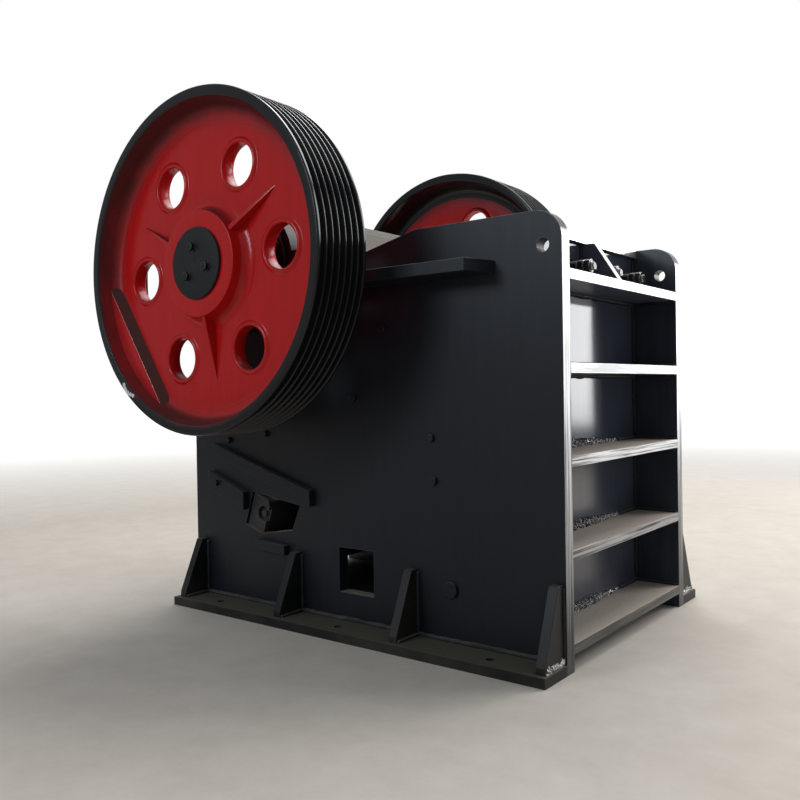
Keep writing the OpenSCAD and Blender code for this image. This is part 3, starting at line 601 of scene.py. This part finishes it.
# Hub section: turned face, coned front that spreads into the web, and the plainer inner boss.
def hubOutline():
    w = wheel
    r, lap, hubBack = w["hubR"], w["lap"], wheelWide - w["hubBack"]
    foot = r + w["hubFoot"]
    front, back = webSkins()
    corners = [(w["boreR"], w["hubDepth"], 0.001), (r - 0.002, w["hubDepth"], 0.004), (r + 0.008, front, w["fillet"]),
               (foot, front, lap), (foot + 0.002, front + 0.004, lap), (foot + 0.002, back - 0.004, lap),
               (foot, back, lap), (r + 0.008, back, w["fillet"]), (r, hubBack - 0.0035, 0.004),
               (r - 0.006, hubBack, 0.003), (w["boreR"], hubBack, 0.001)]
    return roundedOutline(corners, 5)


# One window's share of the web as rings from the window's edge out to the sector's edge. Height is the web plane
# raised by a flat bead about the window whose shoulders are smooth steps.
def webSector(index, side, front):
    w = wheel
    half = math.pi / w["holes"]
    middle = math.radians(w["holeTurn"]) + 2 * half * index
    innerR, outerR = w["hubR"] + 0.055, wheelR - w["rimWeb"] + 0.006
    arc = np.linspace(-half, half, w["arcSteps"] + 1)
    spoke = np.linspace(0, 1, w["sideSteps"] + 1)
    n, m = w["arcSteps"], w["sideSteps"]
    edgeR = np.concatenate([np.full(n, outerR), outerR + (innerR - outerR) * spoke[:-1],
                            np.full(n, innerR), innerR + (outerR - innerR) * spoke[:-1]])
    edgeA = np.concatenate([arc[:-1], np.full(m, half), arc[::-1][:-1], np.full(m, -half)])
    edge = np.stack([edgeR * np.cos(edgeA), edgeR * np.sin(edgeA)], -1)
    centre = np.array([w["holeCircle"], 0.0])
    away = edge - centre
    away /= np.linalg.norm(away, axis=1, keepdims=True)
    steps = np.array([0, 0.0008, 0.002, 0.004, 0.0065, 0.009, 0.012, 0.0155, 0.019, 0.0225, 0.0255, 0.028, 0.033])
    rows = [centre + away * (w["holeR"] + d) for d in steps]
    last = rows[-1]
    rows += [last + (edge - last) * t for t in (0.25, 0.5, 0.75, 1.0)]
    flat = np.array(rows)
    distance = np.concatenate([steps, [1.0] * 4])[:, None] + 0 * flat[:, :, 0]
    rise = np.clip(0.25 + distance / w["beadRise"], 0, 1)
    fall = np.clip((w["bead"] - distance) / w["beadFall"], 0, 1)
    bead = np.sin(rise * math.pi / 2) * fall * fall * (3 - 2 * fall) * (w["beadHigh"] if front else w["beadBack"])
    depth = w["webDepth"] - bead if front else w["webDepth"] + w["webThick"] + bead
    radius = np.hypot(flat[:, :, 0], flat[:, :, 1])
    angle = np.arctan2(flat[:, :, 1], flat[:, :, 0]) + middle
    return placeWheel(radius, angle, depth, side)


# Front and back skins of the web, joined by the window walls and along the hidden outer and inner arcs.
def webMesh(side):
    w, parts = wheel, []
    for index in range(w["holes"]):
        front, back = webSector(index, side, True), webSector(index, side, False)
        rows, around = front.shape[:2]
        rings = np.concatenate([front[::-1], back])
        quads = ringFaces(2 * rows, around, False)
        n, m = w["arcSteps"], w["sideSteps"]
        arcs = np.concatenate([np.arange(n), np.arange(n + m, 2 * n + m)])
        after, lastRow = (arcs + 1) % around, (2 * rows - 1) * around
        walls = np.stack([lastRow + arcs, arcs, after, lastRow + after], -1)
        parts.append((rings.reshape(-1, 3), [quads, walls]))
    return joinParts(parts)


# A flat outline in wheel coordinates at one depth, joined point by point to another; ends closed.
def loftOutline(lower, upper, depthLow, depthHigh, turn, side):
    n = len(lower)
    rings = [placeWheel(np.hypot(*flat.T), np.arctan2(flat[:, 1], flat[:, 0]) + turn, np.full(n, depth), side)
             for flat, depth in ((lower, depthLow), (upper, depthHigh))]
    return np.concatenate(rings), prismFaces(n)


# The part of a disc beyond a straight chord, as a closed outline.
def chordSegment(chord, arcR):
    reach = math.acos(chord / arcR)
    arc = np.linspace(-reach, reach, 33)
    return np.stack([arcR * np.cos(arc), arcR * np.sin(arc)], -1)


# A casting rib: its side view runs from the hub face down to the web, thickness across.
def spokeMesh(turn, side):
    w = wheel
    view = np.array([[w["hubR"] - 0.004, w["hubDepth"] + 0.014], [w["hubR"] + 0.014, w["hubDepth"] + 0.014],
                     [w["ribTip"] - 0.004, w["webDepth"] - 0.002], [w["ribTip"] - 0.002, w["webDepth"] + 0.001],
                     [w["hubR"] - 0.004, w["webDepth"] + 0.001]])
    half = w["ribThick"] / 2 * np.where(view[:, 0] > w["hubR"] + 0.1, w["ribTipThin"], 1.0)
    sides = [placeWheel(np.hypot(view[:, 0], offset), np.arctan2(offset, view[:, 0]) + turn, view[:, 1], side)
             for offset in (-half, half)]
    return np.concatenate(sides), prismFaces(len(view))


# Rim, hub, web, counterweight and ribs; the rim's inner wall down to the web is red, the rest of it charcoal.
def buildWheel(name, node, side):
    w = wheel

    def castPiece(label, mesh, looks=("wheelRed",), **more):
        return finishMesh(name + label, *mesh, looks, "rotor", "wheel_paint", **more)

    points, blocks = latheRing(rimOutline(), side, w["facets"])
    radius = np.hypot(points[:, 0] - axisX, points[:, 2] - axisZ)[blocks[0]].mean(1)
    depth = (wheelFaceY - np.abs(points[:, 1]))[blocks[0]].mean(1)
    red = (radius < wheelR - w["rim"] - 0.0005) & (depth < w["webDepth"] + w["webThick"])
    pieces = [castPiece("Rim", (points, blocks), ("rimCharcoal", "wheelRed"), faceLook=red, smooth=30),
              castPiece("Hub", latheRing(hubOutline(), side, w["hubFacets"]), smooth=45),
              castPiece("Web", webMesh(side), smooth=50)]
    arcR = wheelR - w["rimWeb"] + 0.012
    foot, crest = [chordSegment(chord, arcR) for chord in (w["weightSet"] - w["weightSlope"], w["weightSet"])]
    points, blocks = loftOutline(crest, foot, w["webDepth"] - w["weightHigh"], w["webDepth"] + 0.002,
                                 math.radians(w["holeTurn"] + w["weightTurn"]), side)
    shadedSlope = np.zeros(sum(len(block) for block in blocks), bool)
    shadedSlope[-1] = True                          # the wall along the chord joins the outline's last point to its first
    # the sloping wall takes the painted shade
    weight = castPiece("Weight", (points, blocks), ("wheelRed", "weightGrime"), faceLook=shadedSlope)
    pieces.append(addBevel(weight, 0.004))
    for index in range(w["ribs"]):
        turn = math.radians(w["holeTurn"] + w["ribTurn"] + 360 / w["ribs"] * index)
        pieces.append(addBevel(castPiece(f"Rib{index + 1}", spokeMesh(turn, side)), 0.0028))
    for piece in pieces:
        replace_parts(piece, node)


buildWheel("beltWheel", "belt_wheel", -1)
buildWheel("flyWheel", "fly_wheel", 1)
print("stage: wheels")


# Shaft end discs.
capShape = {"radius": 0.156, "thick": 0.012, "facets": 96, "bolts": 3, "boltCircle": 0.075, "boltAcross": 0.036,
            "boltHigh": 0.017, "turn": 104.0}
boltSides = 24                                # points round a bolt head, a multiple of six


# Hex head on a round washer, with the top corners turned off: rings of six-sided and round sections.
def hexBolt(centre, direction, across, high, chamfer=0.12, washer=1.25):
    direction = Vector(direction).normalized()
    sideways = direction.orthogonal().normalized()
    other = direction.cross(sideways)
    angle = np.linspace(0, 2 * math.pi, boltSides, endpoint=False)
    corner = across / 2 / np.cos((angle + math.pi / 6) % (math.pi / 3) - math.pi / 6)
    disc = np.full(boltSides, across / 2)
    rings = [(washer * disc * 1.15, 0.0), (washer * disc * 1.15, high * 0.16), (corner, high * 0.17),
             (corner, high * (1 - chamfer)), (np.minimum(corner, disc * 1.04), high * 0.97), (disc * 0.92, high),
             (disc * 0.02, high)]
    flat = [np.outer(r * np.cos(angle), sideways) + np.outer(r * np.sin(angle), other) for r, h in rings]
    points = [np.array(centre) + ring + np.array(direction) * h for ring, (r, h) in zip(flat, rings)]
    first = np.arange(boltSides)[None]
    return np.concatenate(points), [ringFaces(len(rings), boltSides, False), first[:, ::-1],
                                    (len(rings) - 1) * boltSides + first]


# Shaft end disc with its ring of bolts.
def buildCap(name, node, side):
    c, depth = capShape, wheel["hubDepth"]
    face = depth - c["thick"]
    corners = [(0.0005, face, 1e-5), (c["radius"] - 0.003, face, 0.0015), (c["radius"], face + 0.003, 0.0015),
               (c["radius"], depth, 0.0005), (0.0005, depth, 1e-5)]
    parts = [latheRing(roundedOutline(corners), side, c["facets"])]
    for index in range(c["bolts"]):
        angle = np.array([math.radians(c["turn"] + 360 / c["bolts"] * index)])
        centre = placeWheel(np.array([c["boltCircle"]]), angle, np.array([face]), side)[0]
        parts.append(hexBolt(centre, (0, side, 0), c["boltAcross"], c["boltHigh"], washer=0.9))
    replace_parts(finishMesh(name, *joinParts(parts), ["capBlack"], "rotor", "cap_paint"), node)


buildCap("nearShaftCap", "shaft_cap_left", -1)
buildCap("farShaftCap", "shaft_cap_right", 1)


# Bolts of the fixed jaw, in the top cell.
jawBolt = {"count": 4, "pitch": 0.273, "down": 0.157, "padR": 0.044, "padHigh": 0.014, "sleeveR": 0.029,
           "nutIn": 0.050, "nutAcross": 0.058, "nutHigh": 0.031, "studR": 0.018, "studHigh": 0.125, "threads": 9,
           "threadDeep": 0.0018, "facets": 48, "pole": 0.0002}
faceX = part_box("front_rib_2")[0].x            # outer face of the front wall
boltZ = plateHigh.z - jawBolt["down"]


# A closed (radius, distance from the wall) outline turned about a line along X.
def turnedX(y, z, outline):
    angle = np.linspace(0, 2 * math.pi, jawBolt["facets"], endpoint=False)
    radius, along = np.array(outline).T[:, :, None]
    grid = np.stack([faceX + along + 0 * angle, y + radius * np.cos(angle), z + radius * np.sin(angle)], -1)
    return grid.reshape(-1, 3), [ringFaces(len(outline), len(angle))]


# Pad and sleeve, two nuts, and a stud whose threads are steps in its radius.
def jawBoltParts(y):
    b = jawBolt
    pad, nut, end, pole = b["padHigh"], b["nutIn"], b["studHigh"], b["pole"]
    sleeve = [(pole, 0.001), (b["padR"], 0.001), (b["padR"], pad - 0.002), (b["padR"] - 0.002, pad),
              (b["sleeveR"], pad), (b["sleeveR"], nut + 0.001), (pole, nut + 0.001)]
    threads = np.linspace(nut + 2 * b["nutHigh"] - 0.004, end - 0.004, b["threads"])
    stud = [(pole, threads[0] - 0.002)]
    stud += [(b["studR"] - (b["threadDeep"] if i % 2 else 0), z) for i, z in enumerate(threads)]
    stud += [(b["studR"] - 0.004, end), (pole, end)]
    nuts = [hexBolt((faceX + x, y, boltZ), (1, 0, 0), b["nutAcross"], b["nutHigh"], washer=0.8)
            for x in (nut, nut + b["nutHigh"] - 0.001)]
    return [turnedX(y, boltZ, sleeve), *nuts, turnedX(y, boltZ, stud)]


middle = (jawBolt["count"] - 1) / 2
parts = [part for index in range(jawBolt["count"]) for part in jawBoltParts((index - middle) * jawBolt["pitch"])]
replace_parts(finishMesh("jawBolts", *joinParts(parts), ["boltBlue"], "frame", "bare_steel"), "jaw_bolts")
print("stage: bolts")


# Weld beads.
bead = {"leg": 0.014, "thin": 0.012, "small": 0.010, "pitch": 0.0085, "perRipple": 4, "ripple": 0.10, "curve": 0.3,
        "wander": 0.10, "belly": 0.10, "endRun": 0.006, "endLeg": 0.35, "tailFrom": 0.62, "across": 6, "root": 0.001}


# A fillet weld along a straight joint: a rounded corner section between two walls whose leg swells with each
# ripple (a sine of the distance, curved back across the bead), wanders slowly and shrinks to its tail.
def weldBead(start, end, wallA, wallB, leg=bead["leg"], ripple=bead["ripple"], spatter=0.0, tail=1.0):
    start, end = np.array(start, float), np.array(end, float)
    length = np.linalg.norm(end - start)
    count = max(8, int(length / bead["pitch"] * bead["perRipple"]))
    s = np.linspace(0, length, count)
    turn = np.linspace(0, math.pi / 2, bead["across"])
    across = np.sin(2 * turn)
    phase = 2 * math.pi * (s[:, None] / bead["pitch"] + bead["curve"] * across[None, :])
    slow = rng.normal(0, 1, count // 12 + 3)
    wander = np.interp(s, np.linspace(0, length, len(slow)), slow)[:, None]
    size = leg * (1 + ripple * np.sin(phase) + bead["wander"] * wander)
    size = size * np.clip(np.minimum(s, length - s)[:, None] / bead["endRun"] + bead["endLeg"], 0, 1)
    fade = np.clip((s / length - bead["tailFrom"]) / (1 - bead["tailFrom"]), 0, 1)[:, None]
    size = size * (1 - (1 - tail) * fade * fade * (3 - 2 * fade))
    if spatter:
        size = size * (1 + spatter * rng.uniform(-1, 1, size=size.shape))
    size = (size * (1 + bead["belly"] * across))[:, :, None]
    a, b = np.array(wallA, float), np.array(wallB, float)
    base = start + np.outer(s / length, end - start)
    ring = base[:, None] + size * np.cos(turn)[:, None] * a + size * np.sin(turn)[:, None] * b
    root = base[:, None] - bead["root"] * (a + b)
    grid = np.concatenate([ring, root], 1)
    n, m = grid.shape[:2]
    first = np.arange(m)[None]
    return grid.reshape(-1, 3), [ringFaces(n, m, False), first, (n - 1) * m + first[:, ::-1]]


# Several runs of weld as one piece.
def weldObject(name, runs, look="weldPaint"):
    points, blocks = joinParts([weldBead(*run) for run in runs])
    finishMesh(name, points, blocks, [look], "frame", "frame_paint", smooth=60)


# Bare weld at the near end of the lower ribs, speckled with painted glints: leg, ripple, spatter and tail of each
# run.
freshGlint = {"ribs": 3, "until": 0.34, "run": (0.025, 0.10, 0.26, 0.45)}
ahead, up, down = (1, 0, 0), (0, 0, 1), (0, 0, -1)
ribRuns, freshGlintRuns = [], []
for number in range(1, 6):
    low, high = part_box(f"front_rib_{number}")
    start = low.y
    if number <= freshGlint["ribs"]:
        start = freshGlint["until"]
        freshGlintRuns.append(((faceX, low.y, high.z), (faceX, start, high.z), ahead, up, *freshGlint["run"]))
    ribRuns.append(((faceX, start, high.z), (faceX, high.y, high.z), ahead, up))
    if number > 1:
        ribRuns.append(((faceX, low.y, low.z), (faceX, high.y, low.z), ahead, down))
    for y, inward in ((low.y, 1), (high.y, -1)):
        for z, wall in ((high.z, up), (low.z, down)):
            ribRuns.append(((faceX, y, z), (frontX - 0.004, y, z), (0, inward, 0), wall, bead["small"]))
weldObject("ribWelds", ribRuns)

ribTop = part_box("front_rib_5")[1].z
gusLow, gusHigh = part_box("top_gusset")
wallRuns = []
for y, out in ((gusLow.y, -1), (gusHigh.y, 1)):
    wallRuns.append(((faceX, y, ribTop), (faceX, y, gusHigh.z), ahead, (0, out, 0), bead["small"]))
    wallRuns.append(((faceX, y, ribTop), (gusHigh.x - 0.004, y, ribTop), up, (0, out, 0), bead["small"]))
cells = [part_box(f"front_rib_{n}")[1].z for n in range(1, 6)] + [plateHigh.z]
for y, inward in ((-innerY, 1), (innerY, -1)):
    for lowZ, highZ in zip(cells[:-1], cells[1:]):
        wallRuns.append(((faceX, y, lowZ + 0.02), (faceX, y, highZ - 0.05), ahead, (0, inward, 0), bead["thin"]))
weldObject("wallWelds", wallRuns)

gusset = {"count": 4, "front": 0.052, "rear": 0.022, "thick": 0.040, "high": 0.275, "frontHigh": 1.07, "reach": 0.148,
          "leg": 0.011, "foreLeg": 0.0075, "foreSlant": 0.28, "foreRun": (0.023, 0.05, 0.2)}
gussetStep = (footHigh.x - footLow.x - gusset["front"] - gusset["rear"]) / (gusset["count"] - 1)
footRuns = []
for side in (-1, 1):
    y, outward = side * outerY, (0, side, 0)
    stops = [footHigh.x - 0.002]
    for index in range(gusset["count"]):
        x = frontX - gusset["front"] - index * gussetStep
        top = footHigh.z + gusset["high"] * (gusset["frontHigh"] if index == 0 else 1) - 0.01
        for edgeX, out in ((x, -1), (x + gusset["thick"], 1)):
            fore = index == 0 and out > 0     # front faces of the front gussets, welded afresh at the foot, with painted glints
            leg = gusset["foreLeg"] if fore else gusset["leg"]
            footRuns.append(((edgeX, y, footHigh.z), (edgeX, y, top), (out, 0, 0), outward, leg))
            run = ((edgeX, y, footHigh.z), (edgeX, y + side * (gusset["reach"] - 0.004), footHigh.z))
            if fore:
                freshGlintRuns.append((*run, (out * gusset["foreSlant"], 0, 0), up, *gusset["foreRun"]))
            else:
                footRuns.append((*run, (out, 0, 0), up, leg))
        stops += [x + gusset["thick"], x]
    stops.append(footLow.x)
    for start, end in zip(stops[::2], stops[1::2]):
        if start - end > 0.03:
            footRuns.append(((end, y, footHigh.z), (start, y, footHigh.z), outward, up))
weldObject("footWelds", footRuns)
weldObject("freshGlintWelds", freshGlintRuns, "weldSilverGlints")
print("stage: welds")


# Floor, light and camera.
stageLook = {"floorLight": (0.60, 0.545, 0.478, 1), "floorDark": (0.52, 0.464, 0.402, 1),
             "oil": (0.035, 0.031, 0.026, 1), "size": 90, "rough": 0.85, "horizon": (0.9, 0.9, 0.9, 1),
             "fadeFrom": 4.0, "fadeTo": 13.0, "sky": (0.90, 0.95, 1.0, 1), "soft": 0.37,
             "glossFrom": -0.25, "glossTo": 0.75}


# Pale concrete with painted shade below the machine, clearing to white towards the horizon for the camera alone.
def floorMaterial():
    material, tree, shader, coords = startMaterial("paleFloor")
    tone = rampNode(tree, noiseNode(tree, coords, 5.0, 10.0, 0.7), 0.3, 0.7)
    colour = mixColour(tree, tone, stageLook["floorDark"], stageLook["floorLight"])
    place = splitXyz(tree, coords)
    along = rampNode(tree, mathNode(tree, "ABSOLUTE", place["X"]), frontX - 0.20, frontX - 0.32)
    across = rampNode(tree, mathNode(tree, "ABSOLUTE", place["Y"]), innerY, innerY - 0.12)
    under = times(tree, along, across)        # painted shade on the floor below the machine
    feed(tree, shader.inputs["Base Color"], mixColour(tree, under, colour, stageLook["oil"]))
    shader.inputs["Roughness"].default_value = stageLook["rough"]
    fade = rampNode(tree, vectorMath(tree, "LENGTH", coords), stageLook["fadeFrom"], stageLook["fadeTo"])
    seen = times(tree, fade, addNode(tree, "ShaderNodeLightPath").outputs["Is Camera Ray"])
    feed(tree, shader.inputs["Emission Color"], mixColour(tree, seen, (0, 0, 0, 1), stageLook["horizon"]))
    shader.inputs["Emission Strength"].default_value = 1.0
    return material


bpy.ops.mesh.primitive_plane_add(size=stageLook["size"], location=(0, 0, 0))
floor = bpy.context.object
floor.name = "floor"
floor.data.materials.append(floorMaterial())


# White for the camera and through glass, soft light for the rest; glossy rays see white only behind the machine.
def buildSky():
    world = bpy.data.worlds.new("paleSky")
    world.use_nodes = True
    sky = world.node_tree
    sky.nodes.clear()
    path = addNode(sky, "ShaderNodeLightPath").outputs
    heading = splitXyz(sky, addNode(sky, "ShaderNodeTexCoord").outputs["Generated"])["Y"]
    shiny = times(sky, path["Is Glossy Ray"], rampNode(sky, heading, stageLook["glossFrom"], stageLook["glossTo"]))
    either = mathNode(sky, "MAXIMUM", path["Is Camera Ray"], shiny)
    either = mathNode(sky, "MAXIMUM", either, path["Is Transmission Ray"])
    soft = addNode(sky, "ShaderNodeBackground", [("Color", stageLook["sky"]), ("Strength", stageLook["soft"])])
    clear = addNode(sky, "ShaderNodeBackground", [("Color", (1, 1, 1, 1)), ("Strength", 1.0)])
    blend = addNode(sky, "ShaderNodeMixShader", [(0, either), (1, soft.outputs[0]), (2, clear.outputs[0])])
    addNode(sky, "ShaderNodeOutputWorld", [("Surface", blend.outputs[0])])
    return world


bpy.context.scene.world = buildSky()

lamps = {
    "frontTall": dict(place=(3.55, 5.50, 2.75), aim=(1.4, -0.2, 1.6), size=(1.5, 4.4), power=118,
                      colour=(0.97, 0.985, 1.0)),                      # its image stands in the front wall
    "roofLight": dict(place=(-0.2, 3.2, 7.6), aim=(0.2, -0.3, 0.6), size=(7.0, 5.0), power=600, colour=(1, 1, 1)),
    "sideTall": dict(place=(5.4, 5.6, 5.2), aim=(0.6, -0.9, 1.8), size=(2.4, 3.4), power=140,
                     colour=(0.96, 0.98, 1.0)),                        # long glints on the belt grooves
    "nearFill": dict(place=(-1.75, -6.0, 3.75), aim=(0.5, -0.6, 1.6), size=(1.8, 1.8), power=98,
                     colour=(0.80, 0.90, 1.0)),
}
for name, lamp in lamps.items():
    data = bpy.data.lights.new(name, "AREA")
    data.shape, (data.size, data.size_y) = "RECTANGLE", lamp["size"]
    data.energy, data.color = lamp["power"], lamp["colour"]
    light = bpy.data.objects.new(name, data)
    bpy.context.scene.collection.objects.link(light)
    light.location = lamp["place"]
    light.rotation_euler = (Vector(lamp["aim"]) - Vector(lamp["place"])).to_track_quat("-Z", "Y").to_euler()

view = {"place": (2.539, -3.397, 1.0645), "right": (0.79058, 0.61215, -0.01582), "up": (0.00446, 0.02008, 0.99979),
        "ahead": (-0.61234, 0.79048, -0.01315), "lens": 37.58, "sensor": 36.0, "near": 0.05, "far": 200}
cameraData = bpy.data.cameras.new("camera")
camera = bpy.data.objects.new("camera", cameraData)
bpy.context.scene.collection.objects.link(camera)
bpy.context.scene.camera = camera
cameraData.sensor_width, cameraData.lens = view["sensor"], view["lens"]
cameraData.clip_start, cameraData.clip_end = view["near"], view["far"]
axes = Matrix([view["right"], view["up"], [-v for v in view["ahead"]]]).transposed().to_4x4()
camera.matrix_world = Matrix.Translation(view["place"]) @ axes
bpy.context.scene.view_settings.view_transform = "Standard"
print("stage: stage and camera")
